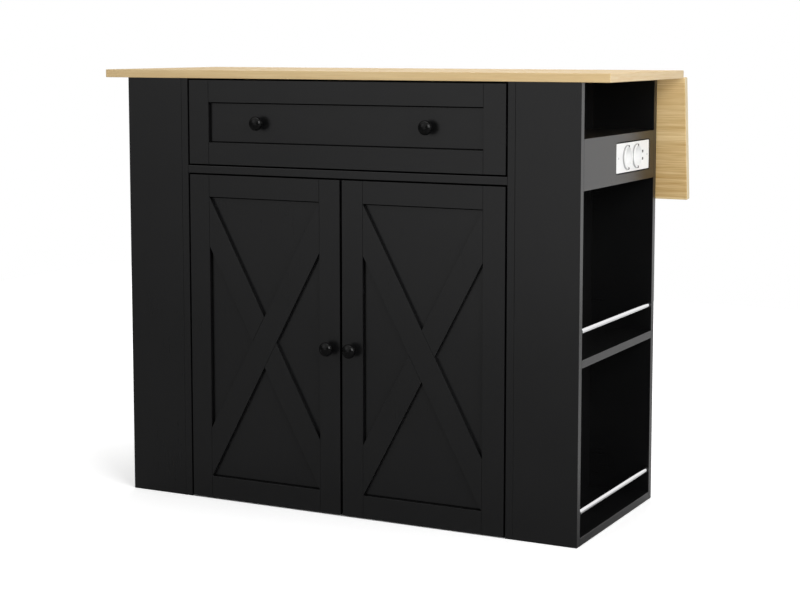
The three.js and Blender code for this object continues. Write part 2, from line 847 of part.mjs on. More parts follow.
// The plate under the worktop holds the pin in its own knuckles
function makeHingePlate() {
  const pin = rodAlongX(leafPinRadius, 16, [-leafHingeLength / 2, leafHingeLength / 2], [0, 0]);
  const plate = piece('leaf_hinge_plate', zincSteel, join(hingeHalf(-1, 0), pin));
  plate.position.set(0, leafPinY, leafPinZ);
  return plate;
}

// ---- Folding brackets ----

// Measured from the leaf's pin with the leaf level: y along the leaf and z above the pin
const channelTop = leafPinBelowWorktop - screwGap;
const rollerLevel = channelTop - channelWall - rollerGap - rollerRadius;
const channelInsideHalf = strutWidth / 2 + strutSideGap + channelSideGap;

// The strut's pivot, seen from the leaf when it is folded down by the angle given
function pivotSeenFromLeaf(fold) {
  const pivot = new THREE.Vector2(bracketPivotOffset - leafPinBehindWorktop, -bracketPivotDrop);
  return pivot.rotateAround(new THREE.Vector2(0, 0), fold);
}

// The roller at the strut's far end runs along the channel: how far out it is, and the strut's
// angle above level
function rollerReach(fold) {
  const pivot = pivotSeenFromLeaf(fold);
  return pivot.x + Math.sqrt(strutLength ** 2 - (rollerLevel - pivot.y) ** 2);
}

function strutAngle(fold) {
  return Math.asin((rollerLevel - pivotSeenFromLeaf(fold).y) / strutLength) - fold;
}

// A channel open below, long enough for the roller's run, with a flat tail towards the hinge
function channelLeg(x) {
  const run = grown([rollerReach(0), rollerReach(leafFold)], rollerRadius + channelEndRoom);
  const half = channelInsideHalf + channelWall;
  const bottom = channelTop - channelDepth;
  const web = block(
    grown([x, x], half),
    [run[0] - channelTailLength, run[1]],
    [channelTop - channelWall, channelTop],
  );
  const body = block(grown([x, x], half), run, [bottom, channelTop]);
  const inside = block(
    grown([x, x], channelInsideHalf),
    [run[0] - overrun, run[1] - channelWall],
    [bottom - overrun, channelTop - channelWall],
  );
  return join(cut(body, inside), web);
}

// The leaf swings with its half of the hinge and its two channels. It is drawn level and folded down.
function makeLeaf() {
  const leaf = new THREE.Group();
  const halfLength = halfWidth + worktopEndOverhang;
  const nearEdge = leafJointGap - leafPinBehindWorktop;
  const slab = edgedSlab([-halfLength, halfLength], [nearEdge, nearEdge + leafReach]);
  const leafBoard = piece('drop_leaf', paleWood, slab);
  leafBoard.position.z = leafPinBelowWorktop;
  const pinRoom = rodAlongX(leafPinRadius + leafPinGap, 16, grown([0, 0], leafHingeLength), [0, 0]);
  leaf.add(leafBoard, piece('leaf_hinge_flap', zincSteel, cut(hingeHalf(1, 1), pinRoom)));
  for (const [name, side] of sides) {
    leaf.add(piece(`${name}_bracket_channel_leg`, darkMetal, channelLeg(side * bracketSpread / 2)));
  }
  leaf.position.set(0, leafPinY, leafPinZ);
  leaf.rotation.x = -leafFold;
  return leaf;
}

// A plate screwed to the back panel, with two round-nosed lugs that hold the strut's pivot pin
function wallLeg(x, pivotY, pivotZ) {
  const lugInner = strutWidth / 2 + strutSideGap;
  const lugOuter = lugInner + lugThickness;
  const plate = block(
    grown([x, x], wallLegWidth / 2),
    [backFace, backFace + wallLegThickness],
    [pivotZ - wallLegPivotHeight, pivotZ - wallLegPivotHeight + wallLegLength],
  );
  const noseRadius = bracketPivotOffset - wallLegThickness;
  const lugOutline = new THREE.Shape();
  lugOutline.moveTo(backFace, pivotZ - lugHeight / 2);
  lugOutline.absarc(pivotY, pivotZ, noseRadius, -Math.PI / 2, Math.PI / 2);
  lugOutline.lineTo(backFace, pivotZ + lugHeight / 2);
  const lugs = [[x - lugOuter, x - lugInner], [x + lugInner, x + lugOuter]].map((span) =>
    pushAlongX(lugOutline, span));
  const pin = rodAlongX(strutPinRadius, 16, grown([x, x], lugOuter), [pivotY, pivotZ]);
  return join(plate, ...lugs, pin);
}

// A strut is a round-ended bar from its pivot to the roller that runs in the channel
function strutGeometry() {
  const radius = strutThickness / 2;
  const outline = new THREE.Shape();
  outline.absarc(0, 0, radius, Math.PI / 2, Math.PI * 1.5);
  outline.absarc(strutLength, 0, radius, -Math.PI / 2, Math.PI / 2);
  const bar = pushAlongX(outline, grown([0, 0], strutWidth / 2));
  const roller = rodAlongX(rollerRadius, 20, grown([0, 0], strutWidth / 2 + strutSideGap), [strutLength, 0]);
  const bore = rodAlongX(strutPinRadius + runningGap, 16, grown([0, 0], strutWidth), [0, 0]);
  return cut(join(bar, roller), bore);
}

function makeBrackets() {
  const brackets = new THREE.Group();
  const pivotY = backFace + bracketPivotOffset;
  const pivotZ = leafPinZ - bracketPivotDrop;
  for (const [name, side] of sides) {
    const x = side * bracketSpread / 2;
    const strut = piece(`${name}_bracket_strut`, darkMetal, strutGeometry());
    strut.position.set(x, pivotY, pivotZ);
    strut.rotation.x = strutAngle(leafFold);
    brackets.add(strut, piece(`${name}_bracket_wall_leg`, darkMetal, wallLeg(x, pivotY, pivotZ)));
  }
  return brackets;
}

// ---- The whole island ----

// Midway between the door knobs and the hanging leaf's lower edge, which reach furthest
function reachMiddle() {
  const farCorner = new THREE.Vector2(
    leafJointGap - leafPinBehindWorktop + leafReach,
    leafPinBelowWorktop + worktopThickness,
  );
  farCorner.rotateAround(new THREE.Vector2(0, 0), -leafFold);
  return Math.round((frontFace - knobLength + leafPinY + farCorner.x) / 2);
}

const island = new THREE.Group();
island.add(
  makeCarcass(),
  makeEndShelves(),
  makePowerBox(),
  makeDrawer(),
  makeHingeArms(),
  makeHingePlate(),
  makeLeaf(),
  makeBrackets(),
);
for (const [name, side] of sides) {
  island.add(makeDoor(name, side));
}
island.position.y = -reachMiddle();

export default island;
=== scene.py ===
"""A kitchen island: a wood worktop over a black cabinet with a drawer, two cross-braced doors, open
shelves at both ends, a power outlet in the right end, and a drop leaf that hangs behind."""

import math

import bmesh
import bpy
from mathutils import Matrix, Vector


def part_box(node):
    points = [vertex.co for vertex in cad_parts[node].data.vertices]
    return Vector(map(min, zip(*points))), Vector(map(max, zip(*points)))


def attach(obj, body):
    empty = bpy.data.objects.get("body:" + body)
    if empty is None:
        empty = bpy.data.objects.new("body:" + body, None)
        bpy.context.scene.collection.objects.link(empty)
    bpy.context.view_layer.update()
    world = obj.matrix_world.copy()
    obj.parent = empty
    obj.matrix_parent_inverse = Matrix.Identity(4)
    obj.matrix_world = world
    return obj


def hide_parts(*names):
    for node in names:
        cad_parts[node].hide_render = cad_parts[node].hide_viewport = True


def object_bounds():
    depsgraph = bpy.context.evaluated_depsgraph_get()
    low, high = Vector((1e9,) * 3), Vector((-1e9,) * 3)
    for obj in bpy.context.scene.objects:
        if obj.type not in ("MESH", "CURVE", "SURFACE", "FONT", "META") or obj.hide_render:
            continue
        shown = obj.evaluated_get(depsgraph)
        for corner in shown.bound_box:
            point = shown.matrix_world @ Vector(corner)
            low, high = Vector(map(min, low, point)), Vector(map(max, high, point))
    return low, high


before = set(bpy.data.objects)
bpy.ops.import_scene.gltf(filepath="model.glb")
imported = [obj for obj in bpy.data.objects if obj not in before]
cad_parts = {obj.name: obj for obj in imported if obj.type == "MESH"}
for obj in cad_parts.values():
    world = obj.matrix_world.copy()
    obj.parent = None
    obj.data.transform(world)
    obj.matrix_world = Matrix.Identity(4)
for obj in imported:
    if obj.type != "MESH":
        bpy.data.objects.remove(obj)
cad_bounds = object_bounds()
scene = bpy.context.scene
scene.view_settings.view_transform = "Standard"

# ---- Camera ----
# It stands to the right of the front, just above worktop height, and looks a little downwards.

camera_data = bpy.data.cameras.new("camera")
camera_data.lens = 79.75
camera_data.shift_y = -0.085
camera = bpy.data.objects.new("camera", camera_data)
camera.location = (1.7456, -3.3785, 0.9791)
camera_down, camera_left = 6.122, 27.084  # degrees from level, and from straight ahead
camera.rotation_euler = (math.radians(90 - camera_down), 0, math.radians(camera_left))
scene.collection.objects.link(camera)
scene.camera = camera

# ---- Studio ----
# A white surround, a pale floor that keeps the island's shadow, and large soft lamps: one to the
# right of the front, one to the left, one overhead and one behind. In a mirror the surround is
# white behind the island and dim where the camera stands, as a studio's open side is. The floor's
# glow holds a painted shadow near and under the island, and in a mirror the floor is painted
# darker towards the front, a painted reflection.

world = bpy.data.worlds.new("surround")
scene.world = world
world.use_nodes = True
nodes, links = world.node_tree.nodes, world.node_tree.links
nodes.clear()
path = nodes.new("ShaderNodeLightPath")
towards_backdrop = nodes.new("ShaderNodeVectorMath")
towards_backdrop.operation = "DOT_PRODUCT"
direction = nodes.new("ShaderNodeTexCoord").outputs["Generated"]
links.new(direction, towards_backdrop.inputs[0])
towards_backdrop.inputs[1].default_value = (1.0, 0.25, 0.3)
dim_left = nodes.new("ShaderNodeMapRange")
links.new(towards_backdrop.outputs["Value"], dim_left.inputs["Value"])
dim_left.inputs["From Min"].default_value = -0.92
dim_left.inputs["From Max"].default_value = -0.38
dim_left.inputs["To Min"].default_value = 0.10
dim_left.inputs["To Max"].default_value = 1.0
towards_camera = nodes.new("ShaderNodeVectorMath")
towards_camera.operation = "DOT_PRODUCT"
links.new(direction, towards_camera.inputs[0])
towards_camera.inputs[1].default_value = (0.574, -0.819, 0)
dim_camera_side = nodes.new("ShaderNodeMapRange")
links.new(towards_camera.outputs["Value"], dim_camera_side.inputs["Value"])
dim_camera_side.inputs["From Min"].default_value = 0.75
dim_camera_side.inputs["From Max"].default_value = 0.92
dim_camera_side.inputs["To Min"].default_value = 1.0
dim_camera_side.inputs["To Max"].default_value = 0.12
mirrored_strength = nodes.new("ShaderNodeMath")
mirrored_strength.operation = "MULTIPLY"
links.new(dim_left.outputs["Result"], mirrored_strength.inputs[0])
links.new(dim_camera_side.outputs["Result"], mirrored_strength.inputs[1])
unseen = nodes.new("ShaderNodeBackground")
unseen.inputs["Strength"].default_value = 0.42
mirrored = nodes.new("ShaderNodeBackground")
links.new(mirrored_strength.outputs[0], mirrored.inputs["Strength"])
seen = nodes.new("ShaderNodeBackground")
seen.inputs["Strength"].default_value = 1.0
for background in (unseen, mirrored, seen):
    background.inputs["Color"].default_value = (1, 1, 1, 1)
in_a_mirror = nodes.new("ShaderNodeMixShader")
links.new(path.outputs["Is Glossy Ray"], in_a_mirror.inputs["Fac"])
links.new(unseen.outputs[0], in_a_mirror.inputs[1])
links.new(mirrored.outputs[0], in_a_mirror.inputs[2])
directly = nodes.new("ShaderNodeMixShader")
camera_or_glass = nodes.new("ShaderNodeMath")
camera_or_glass.operation = "MAXIMUM"
links.new(path.outputs["Is Camera Ray"], camera_or_glass.inputs[0])
links.new(path.outputs["Is Transmission Ray"], camera_or_glass.inputs[1])
links.new(camera_or_glass.outputs[0], directly.inputs["Fac"])
links.new(in_a_mirror.outputs[0], directly.inputs[1])
links.new(seen.outputs[0], directly.inputs[2])
links.new(directly.outputs[0], nodes.new("ShaderNodeOutputWorld").inputs["Surface"])

floor_paint = bpy.data.materials.new("floor")
floor_paint.use_nodes = True
nodes, links = floor_paint.node_tree.nodes, floor_paint.node_tree.links
nodes.clear()
path = nodes.new("ShaderNodeLightPath")
pale = nodes.new("ShaderNodeBsdfDiffuse")
# Seen in a mirror the floor is painted darker, most of all in front of the island: a painted reflection that
# darkens the lower fronts.
in_a_mirror = nodes.new("ShaderNodeMix")
in_a_mirror.data_type = "RGBA"
in_a_mirror.inputs["A"].default_value = (0.9, 0.9, 0.9, 1)
floor_place = nodes.new("ShaderNodeSeparateXYZ")
links.new(nodes.new("ShaderNodeTexCoord").outputs["Object"], floor_place.inputs[0])
painted_reflection_tone = nodes.new("ShaderNodeMapRange")
links.new(floor_place.outputs["Y"], painted_reflection_tone.inputs["Value"])
painted_reflection_tone.inputs["From Min"].default_value = -0.3
painted_reflection_tone.inputs["From Max"].default_value = 0.5
painted_reflection_tone.inputs["To Min"].default_value = 0.26
painted_reflection_tone.inputs["To Max"].default_value = 0.8
links.new(painted_reflection_tone.outputs["Result"], in_a_mirror.inputs["B"])
links.new(path.outputs["Is Glossy Ray"], in_a_mirror.inputs["Factor"])
links.new(in_a_mirror.outputs["Result"], pale.inputs["Color"])
# The glow that whitens the floor for the camera holds a painted shadow: it is weaker near the cabinet and
# stops under its footprint, a painted contact shadow.
beyond = []
for axis, middle, reach in (("X", 0.0, 0.522), ("Y", -0.013, 0.218)):
    offset = nodes.new("ShaderNodeMath")
    offset.operation = "SUBTRACT"
    links.new(floor_place.outputs[axis], offset.inputs[0])
    offset.inputs[1].default_value = middle
    distance = nodes.new("ShaderNodeMath")
    distance.operation = "ABSOLUTE"
    links.new(offset.outputs[0], distance.inputs[0])
    past_edge = nodes.new("ShaderNodeMath")
    past_edge.operation = "SUBTRACT"
    links.new(distance.outputs[0], past_edge.inputs[0])
    past_edge.inputs[1].default_value = reach
    beyond.append(past_edge.outputs[0])
from_cabinet = nodes.new("ShaderNodeMath")
from_cabinet.operation = "MAXIMUM"
for socket, distance in zip(from_cabinet.inputs, beyond):
    links.new(distance, socket)
glow_with_painted_shadow = nodes.new("ShaderNodeMapRange")
links.new(from_cabinet.outputs[0], glow_with_painted_shadow.inputs["Value"])
glow_with_painted_shadow.inputs["From Min"].default_value = 0.0
glow_with_painted_shadow.inputs["From Max"].default_value = 0.8
glow_with_painted_shadow.inputs["To Min"].default_value = 0.40
glow_with_painted_shadow.inputs["To Max"].default_value = 0.625
outside_painted_shadow = nodes.new("ShaderNodeMath")
outside_painted_shadow.operation = "GREATER_THAN"
links.new(from_cabinet.outputs[0], outside_painted_shadow.inputs[0])
outside_painted_shadow.inputs[1].default_value = 0.0
camera_glow_mask = nodes.new("ShaderNodeMath")
camera_glow_mask.operation = "MULTIPLY"
links.new(path.outputs["Is Camera Ray"], camera_glow_mask.inputs[0])
links.new(outside_painted_shadow.outputs[0], camera_glow_mask.inputs[1])
lift = nodes.new("ShaderNodeEmission")
links.new(glow_with_painted_shadow.outputs["Result"], lift.inputs["Color"])
links.new(camera_glow_mask.outputs[0], lift.inputs["Strength"])
both = nodes.new("ShaderNodeAddShader")
links.new(pale.outputs[0], both.inputs[0])
links.new(lift.outputs[0], both.inputs[1])
links.new(both.outputs[0], nodes.new("ShaderNodeOutputMaterial").inputs["Surface"])
floor_mesh = bpy.data.meshes.new("floor")
bm = bmesh.new()
bmesh.ops.create_grid(bm, x_segments=1, y_segments=1, size=3)
bmesh.ops.translate(bm, verts=bm.verts, vec=(0, 0, -0.0005))
bm.to_mesh(floor_mesh)
bm.free()
floor_mesh.materials.append(floor_paint)
floor = bpy.data.objects.new("floor", floor_mesh)
scene.collection.objects.link(floor)

for name, place, size, energy in [
    ("right_lamp", (3.0, -2.0, 2.1), 2.2, 98),
    ("left_lamp", (-2.2, -3.2, 2.4), 2.2, 12),
    ("top_lamp", (0.2, 0.4, 3.3), 2.4, 22),
    ("back_lamp", (-1.2, 3.2, 1.8), 2.2, 30),
]:
    lamp_data = bpy.data.lights.new(name, "AREA")
    lamp_data.size = size
    lamp_data.energy = energy
    lamp = bpy.data.objects.new(name, lamp_data)
    lamp.location = place
    towards = Vector((0, 0, 0.45)) - Vector(place)
    lamp.rotation_euler = towards.to_track_quat("-Z", "Y").to_euler()
    scene.collection.objects.link(lamp)

# ---- Worktop ----
# One board of wood strips glued edge to edge, with the staves in each strip butted end to end.
# It is oiled, its edges are eased, and it is screwed down from inside the cabinet.


def new_effect(name, inputs, outputs):
    """An empty node group, with its input and output nodes."""
    group = bpy.data.node_groups.new(name, "ShaderNodeTree")
    for label, kind, value in inputs:
        socket = group.interface.new_socket(label, in_out="INPUT", socket_type=kind)
        if value is not None:
            socket.default_value = value
    for label, kind in outputs:
        group.interface.new_socket(label, in_out="OUTPUT", socket_type=kind)
    return group, group.nodes.new("NodeGroupInput"), group.nodes.new("NodeGroupOutput")


def calculate(group, operation, *values, clamp=False):
    """A Math node in a group; each value is a number or an output socket."""
    node = group.nodes.new("ShaderNodeMath")
    node.operation = operation
    node.use_clamp = clamp
    for socket, value in zip(node.inputs, values):
        if isinstance(value, (int, float)):
            socket.default_value = value
        else:
            group.links.new(value, socket)
    return node.outputs[0]


def stretched(group, vector, scale):
    """The same place, drawn out or pressed together along each axis."""
    node = group.nodes.new("ShaderNodeVectorMath")
    node.operation = "MULTIPLY"
    group.links.new(vector, node.inputs[0])
    node.inputs[1].default_value = scale
    return node.outputs[0]


def noise(group, vector, scale, detail=2.0, rough=0.5):
    node = group.nodes.new("ShaderNodeTexNoise")
    group.links.new(vector, node.inputs["Vector"])
    node.inputs["Scale"].default_value = scale
    node.inputs["Detail"].default_value = detail
    node.inputs["Roughness"].default_value = rough
    return node.outputs["Fac"]


def blend_colours(group, share, first, second):
    node = group.nodes.new("ShaderNodeMix")
    node.data_type = "RGBA"
    group.links.new(share, node.inputs["Factor"])
    for socket, value in ((node.inputs["A"], first), (node.inputs["B"], second)):
        if isinstance(value, tuple):
            socket.default_value = value
        else:
            group.links.new(value, socket)
    return node.outputs["Result"]


def spread(group, value, low, high, new_low, new_high):
    node = group.nodes.new("ShaderNodeMapRange")
    group.links.new(value, node.inputs["Value"])
    ends = {"From Min": low, "From Max": high, "To Min": new_low, "To Max": new_high}
    for label, number in ends.items():
        node.inputs[label].default_value = number
    return node.outputs["Result"]


def wood_strip_effect():
    """Strips along X, side by side along Y: each stave has its own tone, and long fibres. The boards'
    ends are paler, with fine lines across."""
    group, given, result = new_effect(
        "wood_strips",
        [
            ("Vector", "NodeSocketVector", None),
            ("Pale", "NodeSocketColor", (1, 1, 1, 1)),
            ("Deep", "NodeSocketColor", (1, 1, 1, 1)),
            ("Ends", "NodeSocketColor", (1, 1, 1, 1)),
            ("Ends From", "NodeSocketFloat", 0.5),
            ("Strip Width", "NodeSocketFloat", 0.04),
            ("Stave Length", "NodeSocketFloat", 0.4),
            ("Stave Contrast", "NodeSocketFloat", 0.3),
            ("Figure", "NodeSocketFloat", 1.0),
        ],
        [("Color", "NodeSocketColor"), ("Roughness", "NodeSocketFloat"), ("Height", "NodeSocketFloat")],
    )
    parts = group.nodes.new("ShaderNodeSeparateXYZ")
    group.links.new(given.outputs["Vector"], parts.inputs[0])
    across = calculate(group, "DIVIDE", parts.outputs["Y"], given.outputs["Strip Width"])
    strip = calculate(group, "FLOOR", across)
    strip_chance = group.nodes.new("ShaderNodeTexWhiteNoise")
    strip_chance.noise_dimensions = "1D"
    group.links.new(strip, strip_chance.inputs["W"])
    along = calculate(group, "DIVIDE", parts.outputs["X"], given.outputs["Stave Length"])
    along = calculate(group, "ADD", along, strip_chance.outputs["Value"])
    stave = calculate(group, "FLOOR", along)
    pair = group.nodes.new("ShaderNodeCombineXYZ")
    group.links.new(strip, pair.inputs[0])
    group.links.new(stave, pair.inputs[1])
    stave_chance = group.nodes.new("ShaderNodeTexWhiteNoise")
    stave_chance.noise_dimensions = "3D"
    group.links.new(pair.outputs[0], stave_chance.inputs["Vector"])
    shift = group.nodes.new("ShaderNodeVectorMath")
    shift.operation = "MULTIPLY_ADD"
    group.links.new(stave_chance.outputs["Color"], shift.inputs[0])
    shift.inputs[1].default_value = (3, 3, 3)
    group.links.new(given.outputs["Vector"], shift.inputs[2])
    place = shift.outputs[0]
    band_stretch, fibre_stretch, pore_stretch = (2.2, 55, 55), (11, 420, 420), (40, 1500, 1500)
    bands = noise(group, stretched(group, place, band_stretch), 1.0, 3.0, 0.6)
    fibres = noise(group, stretched(group, place, fibre_stretch), 1.0, 2.0, 0.6)
    pores = noise(group, stretched(group, place, pore_stretch), 1.0, 1.0, 0.5)
    swing, middle_tone, seam_darkness = 0.36, 0.42, 0.28
    band_tone = spread(group, bands, 0.3, 0.7, -swing, swing)
    fibre_tone = spread(group, fibres, 0.3, 0.7, -swing, swing)
    figure = calculate(group, "ADD", band_tone, fibre_tone)
    tone = calculate(group, "MULTIPLY_ADD", figure, given.outputs["Figure"], middle_tone)
    stave_tone = calculate(group, "SUBTRACT", stave_chance.outputs["Value"], 0.5)
    tone = calculate(group, "MULTIPLY_ADD", stave_tone, given.outputs["Stave Contrast"], tone)
    edge = calculate(group, "ABSOLUTE", calculate(group, "SUBTRACT", calculate(group, "FRACT", across), 0.5))
    line = spread(group, edge, 0.488, 0.499, 0, 1)
    butt = calculate(group, "ABSOLUTE", calculate(group, "SUBTRACT", calculate(group, "FRACT", along), 0.5))
    seam = calculate(group, "MAXIMUM", line, spread(group, butt, 0.4992, 0.4999, 0, 1))
    tone = calculate(group, "ADD", tone, calculate(group, "MULTIPLY", seam, seam_darkness), clamp=True)
    faces = blend_colours(group, tone, given.outputs["Pale"], given.outputs["Deep"])
    lines = noise(group, stretched(group, given.outputs["Vector"], (1, 14, 300)), 1.0, 3.0, 0.6)
    line_share = spread(group, lines, 0.35, 0.7, 0, 0.4)
    ends = blend_colours(group, line_share, given.outputs["Ends"], given.outputs["Deep"])
    from_middle = calculate(group, "ABSOLUTE", parts.outputs["X"])
    past_end = calculate(group, "SUBTRACT", from_middle, given.outputs["Ends From"])
    sharp_change = 4000  # the whole change of tone within a quarter of a millimetre
    at_end = calculate(group, "MULTIPLY", past_end, sharp_change, clamp=True)
    group.links.new(blend_colours(group, at_end, faces, ends), result.inputs["Color"])
    group.links.new(spread(group, pores, 0.3, 0.7, 0.58, 0.72), result.inputs["Roughness"])
    relief = calculate(group, "SUBTRACT", pores, calculate(group, "MULTIPLY", seam, 0.8))
    group.links.new(relief, result.inputs["Height"])
    return group


def bare_material(name):
    """A new material with its shader, and the object's own coordinates to read patterns from."""
    material = bpy.data.materials.new(name)
    material.use_nodes = True
    tree = material.node_tree
    shader = tree.nodes["Principled BSDF"]
    coordinates = tree.nodes.new("ShaderNodeTexCoord").outputs["Object"]
    return material, tree, shader, coordinates


def apply_effect(tree, shader, effect, place, values, relief):
    """Sets an effect's values and joins its colour, roughness and height to the shader."""
    node = tree.nodes.new("ShaderNodeGroup")
    node.node_tree = effect
    for label, value in values.items():
        node.inputs[label].default_value = value
    tree.links.new(place, node.inputs["Vector"])
    tree.links.new(node.outputs["Color"], shader.inputs["Base Color"])
    tree.links.new(node.outputs["Roughness"], shader.inputs["Roughness"])
    bump = tree.nodes.new("ShaderNodeBump")
    bump.inputs["Strength"].default_value = relief[0]
    bump.inputs["Distance"].default_value = relief[1]
    tree.links.new(node.outputs["Height"], bump.inputs["Height"])
    tree.links.new(bump.outputs["Normal"], shader.inputs["Normal"])


wood_strips = wood_strip_effect()
worktop_tones = {
    "Pale": (0.72, 0.555, 0.310, 1),
    "Deep": (0.52, 0.335, 0.140, 1),
    "Ends": (0.66, 0.53, 0.345, 1),
    "Ends From": 0.5795,
    "Strip Width": 0.0398,
    "Stave Length": 2.3,
    "Stave Contrast": 0.25,
    "Figure": 0.35,
}
# The leaf's pale tone is lighter than the worktop's: painted light, for the light its hanging face does not
# get.
leaf_tones_with_painted_light = worktop_tones | {
    "Pale": (0.84, 0.645, 0.345, 1),
    "Deep": (0.52, 0.305, 0.095, 1),
    "Ends": (0.655, 0.58, 0.41, 1),
    "Stave Contrast": 0.55,
    "Figure": 0.78,
}


def strip_wood(name, turn, place, tones):
    """The same wood, with its strips turned to run along the board."""
    material, tree, shader, coordinates = bare_material(name)
    mapping = tree.nodes.new("ShaderNodeMapping")
    mapping.inputs["Rotation"].default_value = (turn, 0, 0)
    mapping.inputs["Location"].default_value = place
    tree.links.new(coordinates, mapping.inputs["Vector"])
    apply_effect(tree, shader, wood_strips, mapping.outputs["Vector"], tones, (0.15, 0.0003))
    shader.inputs["Specular IOR Level"].default_value = 0.15
    return material


def eased_board(bm, low, high, radius, segments=2):
    """A board between two corners, with its edges rounded over."""
    low, high = Vector(low), Vector(high)
    matrix = Matrix.LocRotScale((low + high) / 2, None, high - low)
    corners = bmesh.ops.create_cube(bm, size=1, matrix=matrix)["verts"]
    edges = {edge for corner in corners for edge in corner.link_edges}
    made = bmesh.ops.bevel(
        bm,
        geom=list(edges),
        offset=radius,
        segments=segments,
        affect="EDGES",
        profile=0.5,
        material=-1,
    )
    return made["verts"]


def finished(bm, name, material, body, replaced=(), smooth_below=None):
    """Closes a piece: its object stands at the origin, rides on a body and has a finish."""
    mesh = bpy.data.meshes.new(name)
    bm.to_mesh(mesh)
    bm.free()
    mesh.materials.append(material)
    if smooth_below:
        mesh.shade_smooth()
        mesh.set_sharp_from_angle(angle=math.radians(smooth_below))
    made = bpy.data.objects.new(name, mesh)
    scene.collection.objects.link(made)
    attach(made, body)
    if replaced:
        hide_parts(*replaced)
    return made


worktop_wood = strip_wood("worktop_wood", 0, (0, 0.011, 0), worktop_tones)
bm = bmesh.new()
eased_board(bm, *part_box("worktop"), 0.0015, 3)
finished(bm, "worktop_slab", worktop_wood, "cabinet", ["worktop"])

# ---- Drop leaf ----
# The same strip wood, its pale tone painted lighter than the worktop's as painted light. It hangs
# a few degrees from plumb and swings up level with the worktop, so it is drawn level about its
# hinge pin and then folded down.

leaf_pin = Vector((0, 0.2103, 0.8997))
leaf_fold = math.radians(83.7)
leaf_near_edge = -0.0033
leaf_reach = 0.260
leaf_underside = 0.0033
leaf_thickness = 0.017
leaf_half_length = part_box("drop_leaf")[1].x
fold_down = Matrix.Translation(leaf_pin) @ Matrix.Rotation(-leaf_fold, 4, "X")
unfolded_pin = Matrix.Rotation(leaf_fold, 3, "X") @ leaf_pin
leaf_strips_start = Vector((0, 0.5842, 0))
leaf_wood = strip_wood("leaf_wood", leaf_fold, leaf_strips_start - unfolded_pin, leaf_tones_with_painted_light)
bm = bmesh.new()
eased_board(
    bm,
    (-leaf_half_length, leaf_near_edge, leaf_underside),
    (leaf_half_length, leaf_near_edge + leaf_reach, leaf_underside + leaf_thickness),
    0.0015,
    3,
)
bmesh.ops.transform(bm, matrix=fold_down, verts=bm.verts)
finished(bm, "leaf_slab", leaf_wood, "leaf", ["drop_leaf"])

# ---- Carcass boards ----
# Fibreboard, sprayed satin black on every face and edge, dowelled and screwed together. The side
# boards' front edges and the divider's show between the drawer, the doors and the front panels.


def fine_finish_effect():
    """A nearly even surface: slow clouds of tone, fine grain along one axis, and its sheen."""
    group, given, result = new_effect(
        "fine_finish",
        [
            ("Vector", "NodeSocketVector", None),
            ("Colour", "NodeSocketColor", (1, 1, 1, 1)),
            ("Second Colour", "NodeSocketColor", (1, 1, 1, 1)),
            ("Grain", "NodeSocketVector", (1, 1, 1)),
            ("Low Sheen", "NodeSocketFloat", 0.5),
            ("High Sheen", "NodeSocketFloat", 0.5),
        ],
        [("Color", "NodeSocketColor"), ("Roughness", "NodeSocketFloat"), ("Height", "NodeSocketFloat")],
    )
    drawn = group.nodes.new("ShaderNodeVectorMath")
    drawn.operation = "MULTIPLY"
    group.links.new(given.outputs["Vector"], drawn.inputs[0])
    group.links.new(given.outputs["Grain"], drawn.inputs[1])
    clouds = noise(group, given.outputs["Vector"], 7.0, 3.0, 0.55)
    grain = noise(group, drawn.outputs[0], 1.0, 3.0, 0.6)
    speckle = noise(group, given.outputs["Vector"], 900.0, 1.0, 0.5)
    cloud_tone = spread(group, clouds, 0.3, 0.7, 0, 0.45)
    grain_tone = spread(group, grain, 0.3, 0.7, 0, 0.55)
    tone = calculate(group, "ADD", cloud_tone, grain_tone)
    group.links.new(
        blend_colours(group, tone, given.outputs["Colour"], given.outputs["Second Colour"]),
        result.inputs["Color"],
    )
    sheen = group.nodes.new("ShaderNodeMapRange")
    average = calculate(group, "MULTIPLY", calculate(group, "ADD", clouds, grain), 0.5)
    group.links.new(average, sheen.inputs["Value"])
    sheen.inputs["From Min"].default_value = 0.3
    sheen.inputs["From Max"].default_value = 0.7
    group.links.new(given.outputs["Low Sheen"], sheen.inputs["To Min"])
    group.links.new(given.outputs["High Sheen"], sheen.inputs["To Max"])
    group.links.new(sheen.outputs["Result"], result.inputs["Roughness"])
    speckle_relief = calculate(group, "MULTIPLY", speckle, 0.6)
    grain_relief = calculate(group, "MULTIPLY", grain, 0.4)
    relief = calculate(group, "ADD", speckle_relief, grain_relief)
    group.links.new(relief, result.inputs["Height"])
    return group


fine_finish = fine_finish_effect()


def painted(name, grain):
    """Satin black paint; the brushing or grain of the board runs along the axis with the low number."""
    material, tree, shader, coordinates = bare_material(name)
    values = {
        "Colour": (0.0032, 0.0032, 0.0034, 1),
        "Second Colour": (0.0048, 0.0048, 0.0051, 1),
        "Grain": grain,
        "Low Sheen": 0.272,
        "High Sheen": 0.288,
    }
    apply_effect(tree, shader, fine_finish, coordinates, values, (0.012, 0.0001))
    shader.inputs["Specular IOR Level"].default_value = 0.5
    return material


upright_paint = painted("black_paint_upright", (260, 260, 9))
level_paint = painted("black_paint_level", (9, 260, 260))


def eased_copy(node, radius):
    """A CAD node's shape, merged into whole faces, with its sharp edges rounded over."""
    bm = bmesh.new()
    bm.from_mesh(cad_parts[node].data)
    bmesh.ops.remove_doubles(bm, verts=bm.verts, dist=1e-5)
    bmesh.ops.dissolve_limit(bm, angle_limit=math.radians(1), verts=bm.verts, edges=bm.edges)
    sharp = [edge for edge in bm.edges if edge.is_manifold and edge.calc_face_angle() > math.radians(40)]
    bmesh.ops.bevel(
        bm,
        geom=sharp,
        offset=radius,
        segments=2,
        affect="EDGES",
        profile=0.5,
        material=-1,
        clamp_overlap=True,
    )
    return bm


